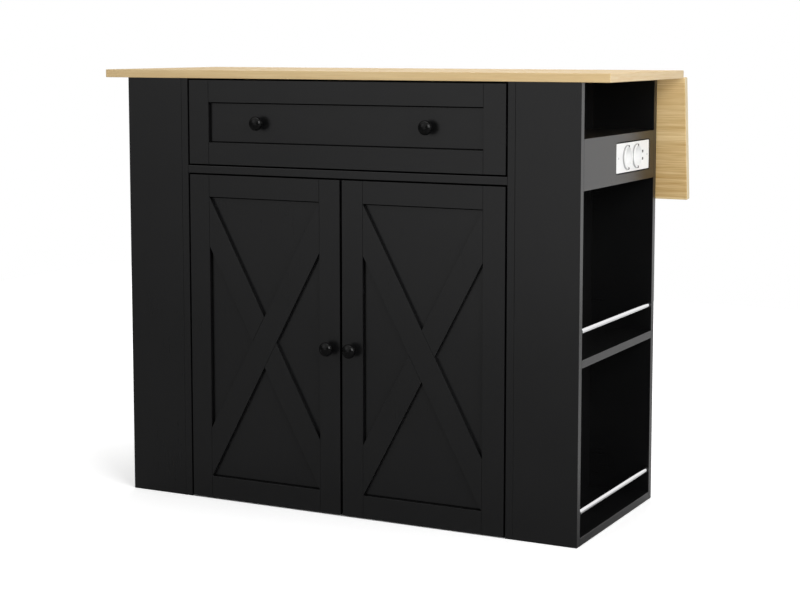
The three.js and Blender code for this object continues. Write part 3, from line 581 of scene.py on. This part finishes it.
for node, paint in [
    ("left_side_board", upright_paint),
    ("right_side_board", upright_paint),
    ("left_front_panel", upright_paint),
    ("right_front_panel", upright_paint),
    ("bottom_board", level_paint),
    ("divider_board", level_paint),
    ("inner_shelf", level_paint),
    ("left_bottom_shelf", level_paint),
    ("left_middle_shelf", level_paint),
    ("right_bottom_shelf", level_paint),
    ("right_middle_shelf", level_paint),
    ("power_box_floor", level_paint),
    ("power_box_top", level_paint),
]:
    bm = bmesh.new()
    eased_board(bm, *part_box(node), 0.0006)
    finished(bm, f"painted_{node}", paint, "cabinet", [node])

for node in ("back_panel", "power_fascia"):
    bm = eased_copy(node, 0.0005)
    finished(bm, f"painted_{node}", level_paint, "cabinet", [node])

# ---- Framed drawer front and doors ----
# Stiles, rails and braces of solid board, glued and sprayed, with fine lines where they meet, round
# panels let into a groove. A thin matte black strip in the groove round each panel is painted shade,
# for the dark shadow line there. One brace of each door is whole and the other meets it in two halves.

for node, body in [
    ("drawer_frame", "drawer"),
    ("left_door_frame", "left_door"),
    ("right_door_frame", "right_door"),
    ("left_door_cross_brace", "left_door"),
    ("right_door_cross_brace", "right_door"),
]:
    paint = level_paint if body == "drawer" else upright_paint
    bm = eased_copy(node, 0.0003)
    finished(bm, f"painted_{node}", paint, body, [node])

stile_width, rail_width = 0.048, 0.046
channel_width, channel_depth, shade_line_setback = 0.0026, 0.003, 0.0006


def lofted(bm, rings, hollow=False):
    """Joins rings of corners, one to the next, and closes the ends; a hollow one comes round again."""
    rings = [[bm.verts.new(corner) for corner in ring] for ring in rings]
    for ring, following in zip(rings, rings[1:] + (rings[:1] if hollow else [])):
        for turn in range(len(ring)):
            after = (turn + 1) % len(ring)
            bm.faces.new((ring[turn], ring[after], following[after], following[turn]))
    if not hollow:
        bm.faces.new(rings[0])
        bm.faces.new(rings[-1])
    bmesh.ops.recalc_face_normals(bm, faces=bm.faces)


def upright_rectangle(low, high, y, inset=(0, 0)):
    left, right, bottom, top = low.x + inset[0], high.x - inset[0], low.z + inset[1], high.z - inset[1]
    return [(left, y, bottom), (right, y, bottom), (right, y, top), (left, y, top)]


# Matte black for strips set where there is only shade: painted shade round the panels and round the outlet
# plate.
painted_shade_black, shade_black_tree, shade_black_shader, shade_black_coordinates = bare_material("painted_shade_black")
shade_black_values = {
    "Colour": (0.0015, 0.0015, 0.0015, 1),
    "Second Colour": (0.0025, 0.0025, 0.0025, 1),
    "Grain": (60, 60, 60),
    "Low Sheen": 0.8,
    "High Sheen": 0.9,
}
apply_effect(shade_black_tree, shade_black_shader, fine_finish, shade_black_coordinates, shade_black_values, (0.1, 0.0001))
shade_black_shader.inputs["Specular IOR Level"].default_value = 0.08

for name, body, paint in [
    ("drawer_front", "drawer", level_paint),
    ("left_door", "left_door", upright_paint),
    ("right_door", "right_door", upright_paint),
]:
    low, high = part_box(f"{name}_panel")
    frame_node = "drawer_frame" if body == "drawer" else f"{name}_frame"
    frame_low, frame_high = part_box(frame_node)
    opening = (stile_width, rail_width)
    inside = (stile_width + channel_width, rail_width + channel_width)
    bm = bmesh.new()
    # A matte black strip in the channel round the panel, just below its face: a painted shade line.
    shade_line_rings = [
        upright_rectangle(frame_low, frame_high, low.y + channel_depth, opening),
        upright_rectangle(frame_low, frame_high, low.y + shade_line_setback, opening),
        upright_rectangle(frame_low, frame_high, low.y + shade_line_setback, inside),
        upright_rectangle(frame_low, frame_high, low.y + channel_depth, inside),
    ]
    lofted(bm, shade_line_rings, hollow=True)
    finished(bm, f"{name}_panel_painted_shade", painted_shade_black, body)
    bm = bmesh.new()
    lofted(
        bm,
        [
            upright_rectangle(low, high, high.y),
            upright_rectangle(low, high, low.y),
            upright_rectangle(frame_low, frame_high, low.y, opening),
            upright_rectangle(frame_low, frame_high, low.y + channel_depth, opening),
            upright_rectangle(frame_low, frame_high, low.y + channel_depth, inside),
            upright_rectangle(frame_low, frame_high, low.y, inside),
        ],
    )
    finished(bm, f"painted_{name}_panel", paint, body, [f"{name}_panel"])

# ---- Knobs ----
# Turned metal with a smooth black coating: a foot, a waisted neck and a domed head. Each is held by
# a screw from behind the stile or the drawer's panel.


def coated(name, colour, second, sheen, specular=0.5, metallic=0.0):
    """Smooth coated metal."""
    material, tree, shader, coordinates = bare_material(name)
    values = {
        "Colour": colour,
        "Second Colour": second,
        "Grain": (300, 300, 300),
        "Low Sheen": sheen[0],
        "High Sheen": sheen[1],
    }
    apply_effect(tree, shader, fine_finish, coordinates, values, (0.1, 0.0002))
    shader.inputs["Specular IOR Level"].default_value = specular
    shader.inputs["Metallic"].default_value = metallic
    return material


def turned(bm, profile, foot, axis, steps=48):
    """A shape spun about an axis; its profile is given as (distance from the foot, radius)."""
    foot, axis = Vector(foot), Vector(axis)
    out = axis.orthogonal().normalized()
    corners = [bm.verts.new(foot + axis * along + out * radius) for along, radius in profile]
    edges = [bm.edges.new(pair) for pair in zip(corners, corners[1:])]
    bmesh.ops.spin(
        bm,
        geom=corners + edges,
        cent=foot,
        axis=axis,
        angle=2 * math.pi,
        steps=steps,
        use_merge=True,
        use_duplicate=False,
    )
    bmesh.ops.remove_doubles(bm, verts=bm.verts, dist=2e-6)
    bmesh.ops.recalc_face_normals(bm, faces=bm.faces)


def quarter(start, end, bulge_first, steps=6):
    """Points along a quarter of an ellipse between two (distance, radius) points."""
    points = []
    for step in range(1, steps + 1):
        turn = math.pi / 2 * step / steps
        one, other = math.sin(turn), 1 - math.cos(turn)
        share = (one, other) if bulge_first else (other, one)
        points.append(tuple(a + (b - a) * part for a, b, part in zip(start, end, share)))
    return points


knob_black, knob_second_black = (0.0025, 0.0025, 0.0026, 1), (0.004, 0.004, 0.004, 1)
knob_coat = coated("knob_coat", knob_black, knob_second_black, (0.13, 0.17), 0.15)
knob_profile = [(0, 0), (0, 0.0075)]
knob_profile += quarter((0, 0.0075), (0.0006, 0.008), False, 3)
knob_profile += [(0.0012, 0.008)]
knob_profile += quarter((0.0012, 0.008), (0.006, 0.0055), False, 6)
knob_profile += quarter((0.006, 0.0055), (0.0115, 0.0105), True, 6)
knob_profile += quarter((0.0115, 0.0105), (0.0165, 0.015), False, 6)
knob_profile += quarter((0.0165, 0.015), (0.027, 0.0), True, 12)
drawer_knob_side, drawer_knob_seat, drawer_knob_height = 0.196, -0.223, 0.8105
door_knob_side, door_knob_seat, door_knob_height = 0.02675, -0.231, 0.351
for node, body, foot in [
    ("left_drawer_knob", "drawer", (-drawer_knob_side, drawer_knob_seat, drawer_knob_height)),
    ("right_drawer_knob", "drawer", (drawer_knob_side, drawer_knob_seat, drawer_knob_height)),
    ("left_door_knob", "left_door", (-door_knob_side, door_knob_seat, door_knob_height)),
    ("right_door_knob", "right_door", (door_knob_side, door_knob_seat, door_knob_height)),
]:
    bm = bmesh.new()
    turned(bm, knob_profile, foot, (0, -1, 0))
    finished(bm, f"turned_{node}", knob_coat, body, [node], smooth_below=50)

# ---- Guard rails ----
# Chromed steel tube across each open compartment, held at both ends in a small black cup that is
# screwed to the inside of the front and back panels.

chrome = coated("rail_chrome", (0.83, 0.83, 0.84, 1), (0.88, 0.88, 0.89, 1), (0.07, 0.12), 0.5, 1.0)
tube_radius, cup_radius, cup_length = 0.006, 0.0076, 0.0055
cup_profile = [(0, tube_radius - 0.0004), (0, cup_radius - 0.0006)]
cup_profile += quarter((0, cup_radius - 0.0006), (0.0006, cup_radius), False, 3)
cup_profile += [(cup_length - 0.0009, cup_radius)]
cup_profile += quarter((cup_length - 0.0009, cup_radius), (cup_length, cup_radius - 0.0009), True, 4)
cup_profile += [(cup_length, tube_radius - 0.0004), (0, tube_radius - 0.0004)]
cups = bmesh.new()
for side in ("left", "right"):
    for level in ("lower", "upper"):
        node = f"{side}_{level}_guard_rail"
        low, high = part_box(node)
        middle = (low + high) / 2
        bm = bmesh.new()
        tube = [(0, 0), (0, tube_radius), (high.y - low.y, tube_radius), (high.y - low.y, 0)]
        turned(bm, tube, (middle.x, low.y, middle.z), (0, 1, 0), 40)
        finished(bm, f"chromed_{node}", chrome, "cabinet", [node], smooth_below=40)
        turned(cups, cup_profile, (middle.x, low.y, middle.z), (0, 1, 0), 32)
        turned(cups, cup_profile, (middle.x, high.y, middle.z), (0, -1, 0), 32)
finished(cups, "guard_rail_cups", knob_coat, "cabinet", smooth_below=40)

# ---- Power outlet ----
# A moulded white housing with a face plate: two round sockets with raised collars, dark earth clips
# and pin holes, and two charging ports. A small screw holds the plate at each end. A matte black ring
# round the plate is painted shade for the gap round it, a grey ring on each collar's side is painted
# shade, and the clips and the ports' fill are dark partly as painted shade of their recesses.


def plastic(name, colour, second, sheen):
    material, tree, shader, coordinates = bare_material(name)
    values = {
        "Colour": colour,
        "Second Colour": second,
        "Grain": (120, 120, 120),
        "Low Sheen": sheen[0],
        "High Sheen": sheen[1],
    }
    apply_effect(tree, shader, fine_finish, coordinates, values, (0.05, 0.0002))
    return material


white_plastic = plastic("white_plastic", (0.84, 0.84, 0.835, 1), (0.87, 0.87, 0.865, 1), (0.34, 0.42))
bm = eased_copy("power_outlet", 0.0004)
finished(bm, "moulded_outlet", white_plastic, "cabinet", ["power_outlet"], smooth_below=20)

zinc = coated("zinc_plate", (0.52, 0.53, 0.55, 1), (0.62, 0.63, 0.65, 1), (0.30, 0.42), 0.5, 1.0)


def screw_head(bm, place, axis, radius, proud):
    """A low domed head with a drive recess in the middle."""
    profile = [(-0.0002, 0), (-0.0002, radius)]
    profile += quarter((0, radius), (proud, radius * 0.5), True, 4)
    profile += [(proud, radius * 0.42), (proud * 0.35, radius * 0.2), (proud * 0.3, 0)]
    turned(bm, profile, place, axis, 16)


outlet_low, outlet_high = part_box("power_outlet")
outlet_middle = (outlet_low + outlet_high) / 2
plate_face = outlet_high.x
plate_screw_reach = 0.0855
bm = bmesh.new()
for step in (-1, 1):
    screw_place = (plate_face, outlet_middle.y + step * plate_screw_reach, outlet_middle.z)
    screw_head(bm, screw_place, (1, 0, 0), 0.0022, 0.0007)
finished(bm, "outlet_plate_screws", zinc, "cabinet", smooth_below=40)

socket_places = (0.026, 0.082)
well_radius, collar_radius, collar_height = 0.0205, 0.0245, 0.0045
collar_profile = [(-0.0004, well_radius), (-0.0004, collar_radius)]
collar_profile += [(collar_height - 0.001, collar_radius - 0.0003)]
collar_profile += quarter(collar_profile[-1], (collar_height, collar_radius - 0.0013), True, 4)
collar_profile += [(collar_height, well_radius + 0.0006), (collar_height - 0.0006, well_radius)]
collar_profile += [collar_profile[0]]
bm = bmesh.new()
for socket_y in socket_places:
    turned(bm, collar_profile, (plate_face, socket_y, outlet_middle.z), (1, 0, 0), 48)
finished(bm, "socket_collars", white_plastic, "cabinet", smooth_below=40)

# A grey ring over each collar's side wall is painted shade: it stands in for the shaded crescent beside each
# socket.
painted_shade_grey = plastic("painted_shade_grey", (0.40, 0.40, 0.40, 1), (0.44, 0.44, 0.44, 1), (0.4, 0.5))
collar_shade_height = collar_height - 0.0014
collar_shade_profile = [(-0.0004, collar_radius - 0.0005), (-0.0004, collar_radius + 0.0004)]
collar_shade_profile += [(collar_shade_height, collar_radius + 0.0002), (collar_shade_height, collar_radius - 0.0005)]
collar_shade_profile += [collar_shade_profile[0]]
bm = bmesh.new()
for socket_y in socket_places:
    turned(bm, collar_shade_profile, (plate_face, socket_y, outlet_middle.z), (1, 0, 0), 48)
finished(bm, "socket_collar_painted_shade", painted_shade_grey, "cabinet", smooth_below=40)

# Near black: the cable grommet is a real black part, while the earth clips below are this dark partly as
# painted shade of their recesses.
dark_fitting = coated("dark_fitting", (0.02, 0.02, 0.021, 1), (0.03, 0.03, 0.031, 1), (0.35, 0.45), 0.3)
clip_reach = 0.0225
bm = bmesh.new()
for socket_y in socket_places:
    for step in (-1, 1):
        clip_z = outlet_middle.z + step * clip_reach
        eased_board(
            bm,
            (plate_face - 0.012, socket_y - 0.0027, clip_z - 0.0021),
            (plate_face + collar_height + 0.0004, socket_y + 0.0027, clip_z + 0.0021),
            0.0005,
        )
# Dark blocks fill the charging ports: partly painted shade of the openings.
port_y, port_half_width, port_half_height, port_reach = 0.118, 0.0062, 0.0026, 0.0075
for step in (-1, 1):
    port_z = outlet_middle.z + step * port_reach
    low = (plate_face - 0.0095, port_y - port_half_width, port_z - port_half_height)
    eased_board(bm, low, (plate_face + 0.0003, port_y + port_half_width, port_z + port_half_height), 0.0002)
finished(bm, "earth_clips_and_charging_ports", dark_fitting, "cabinet")

# A matte black ring round the face plate, set back from its face: painted shade for the gap round the plate.
plate_half_width, plate_half_height, shade_ring_reach = 0.09675, 0.02975, 0.0023
shade_ring_depths = (plate_face - 0.0029, plate_face - 0.0014)
bm = bmesh.new()
rings = []
for x, reach in [
    (shade_ring_depths[0], shade_ring_reach),
    (shade_ring_depths[1], shade_ring_reach),
    (shade_ring_depths[1], 0),
    (shade_ring_depths[0], 0),
]:
    across, up = plate_half_width + reach, plate_half_height + reach
    rings.append(
        [
            (x, outlet_middle.y + step[0] * across, outlet_middle.z + step[1] * up)
            for step in ((-1, -1), (1, -1), (1, 1), (-1, 1))
        ]
    )
lofted(bm, rings, hollow=True)
finished(bm, "outlet_painted_shade_ring", painted_shade_black, "cabinet")

# ---- Drawer box ----
# Foil-faced board: two grooved sides, a back that stands on the bottom, and a thin bottom slid into
# the grooves. The framed front is screwed on from inside.

foil_material, foil_tree, foil_shader, foil_coordinates = bare_material("drawer_foil")
foil_values = {
    "Colour": (0.014, 0.014, 0.0148, 1),
    "Second Colour": (0.020, 0.020, 0.021, 1),
    "Grain": (160, 8, 160),
    "Low Sheen": 0.5,
    "High Sheen": 0.62,
}
apply_effect(foil_tree, foil_shader, fine_finish, foil_coordinates, foil_values, (0.2, 0.0003))
foil_shader.inputs["Specular IOR Level"].default_value = 0.4
for node in ("left_drawer_side", "right_drawer_side"):
    finished(eased_copy(node, 0.0004), f"foiled_{node}", foil_material, "drawer", [node])
for node in ("drawer_back", "drawer_bottom"):
    bm = bmesh.new()
    eased_board(bm, *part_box(node), 0.0004)
    finished(bm, f"foiled_{node}", foil_material, "drawer", [node])

# ---- Drawer slides ----
# Three zinc-plated steel channels that nest and run on balls. The outer one is screwed to the side
# board and the inner one to the drawer's side.

for side in ("left", "right"):
    for member in ("outer", "middle", "inner"):
        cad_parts[f"{side}_slide_{member}"].material_slots[0].material = zinc

# ---- Door hinges ----
# Zinc-plated steel: a cup pressed into the stile and screwed through its flange, and a cranked arm
# screwed to the side board.

for side in ("left", "right"):
    for level in ("lower", "upper"):
        for part in ("arm", "cup"):
            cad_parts[f"{side}_door_{level}_hinge_{part}"].material_slots[0].material = zinc

# ---- Leaf hinge ----
# One long zinc-plated hinge: a plate between the worktop and the back panel, and a flap under the
# leaf, rolled round the same pin.

for node in ("leaf_hinge_plate", "leaf_hinge_flap"):
    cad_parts[node].material_slots[0].material = zinc

# ---- Folding brackets ----
# Black coated steel: a leg screwed to the back panel, a strut that turns on its pin, and a channel
# under the leaf in which the strut's roller runs.

bracket_coat = coated("bracket_coat", (0.016, 0.016, 0.0165, 1), (0.024, 0.024, 0.0245, 1), (0.34, 0.44), 0.5)
for side in ("left", "right"):
    for part in ("wall_leg", "channel_leg", "strut"):
        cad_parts[f"{side}_bracket_{part}"].material_slots[0].material = bracket_coat

# ---- Screws of the hinges, brackets and door knobs ----
# Zinc-plated wood screws with low domed heads, each through a fitting into the board behind it. The
# knobs' longer screws come through the stiles from behind.

door_screws = {"left": bmesh.new(), "right": bmesh.new()}
cabinet_screws, leaf_screws = bmesh.new(), bmesh.new()
up, back = Vector((0, 0, 1)), Vector((0, 1, 0))
arm_plate_face, arm_plate_middle = 0.3667, -0.177
cup_middle, cup_flange_face, cup_screw_rise = 0.3445, -0.2135, 0.0217
arm_screw_rise, stile_back = 0.017, -0.215
for side, hand in (("left", -1), ("right", 1)):
    for level in ("lower", "upper"):
        low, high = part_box(f"{side}_door_{level}_hinge_arm")
        height = (low.z + high.z) / 2
        for step in (-1, 1):
            plate_place = (hand * arm_plate_face, arm_plate_middle, height + step * arm_screw_rise)
            screw_head(cabinet_screws, plate_place, (-hand, 0, 0), 0.0036, 0.0012)
            flange_place = (hand * cup_middle, cup_flange_face, height + step * cup_screw_rise)
            screw_head(door_screws[side], flange_place, back, 0.0032, 0.0011)
    knob_low, knob_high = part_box(f"{side}_door_knob")
    knob_place = (knob_low + knob_high) / 2
    screw_head(door_screws[side], (knob_place.x, stile_back, knob_place.z), back, 0.004, 0.002)
    finished(door_screws[side], f"{side}_door_screws", zinc, f"{side}_door", smooth_below=40)

hinge_screw_count, hinge_screw_pitch, hinge_screw_reach, plate_underside = 8, 0.136, 0.0125, 0.0016
for count in range(hinge_screw_count):
    along = (count - (hinge_screw_count - 1) / 2) * hinge_screw_pitch
    plate_place = leaf_pin + Vector((along, -hinge_screw_reach, plate_underside))
    screw_head(cabinet_screws, plate_place, -up, 0.0028, 0.0007)
    screw_head(leaf_screws, (along, hinge_screw_reach, plate_underside), -up, 0.0028, 0.0007)
bracket_place, channel_web, wall_leg_face = 0.25, 0.0015, 0.207
wall_leg_screw_heights, channel_screw_reaches = (0.782, 0.872), (0.070, 0.103)
for hand in (-1, 1):
    for height in wall_leg_screw_heights:
        screw_head(cabinet_screws, (hand * bracket_place, wall_leg_face, height), back, 0.0036, 0.0012)
    for reach in channel_screw_reaches:
        screw_head(leaf_screws, (hand * bracket_place, reach, channel_web), -up, 0.0036, 0.0012)
bmesh.ops.transform(leaf_screws, matrix=fold_down, verts=leaf_screws.verts)
finished(cabinet_screws, "cabinet_screws", zinc, "cabinet", smooth_below=40)
finished(leaf_screws, "leaf_screws", zinc, "leaf", smooth_below=40)

# ---- Shelf pins and cable grommet ----
# Four zinc-plated pins in the side boards carry the inner shelf. A black plastic ring lines the
# cable hole in the back panel, behind the outlet.

shelf_low, shelf_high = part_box("inner_shelf")
bm = bmesh.new()
pin_profile = [(0, 0), (0, 0.0045)] + quarter((0, 0.0045), (0.0012, 0.0032), True, 3)
pin_profile += [(0.0012, 0.0025), (0.0075, 0.0025), (0.008, 0.002), (0.008, 0)]
pin_inset, pin_drop = 0.045, 0.0026
for hand, place_x in ((-1, shelf_low.x), (1, shelf_high.x)):
    for place_y in (shelf_low.y + pin_inset, shelf_high.y - pin_inset):
        turned(bm, pin_profile, (place_x, place_y, shelf_low.z - pin_drop), (-hand, 0, 0), 20)
finished(bm, "shelf_pins", zinc, "cabinet", smooth_below=40)

panel_back_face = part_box("back_panel")[1].y
cable_hole_x, sleeve_radius, flange_radius, grommet_bore = 0.446, 0.0168, 0.0215, 0.0152
grommet_profile = [(-0.0185, grommet_bore), (-0.0185, 0.0205), (-0.0168, flange_radius)]
grommet_profile += [(-0.016, flange_radius), (-0.016, sleeve_radius), (0, sleeve_radius)]
grommet_profile += [(0, flange_radius), (0.0008, flange_radius), (0.0025, 0.0205), (0.0025, grommet_bore)]
grommet_profile += [grommet_profile[0]]
bm = bmesh.new()
turned(bm, grommet_profile, (cable_hole_x, panel_back_face, outlet_middle.z), (0, 1, 0), 40)
finished(bm, "cable_grommet", dark_fitting, "cabinet", smooth_below=40)

# ---- Size ----

low, high = cad_bounds
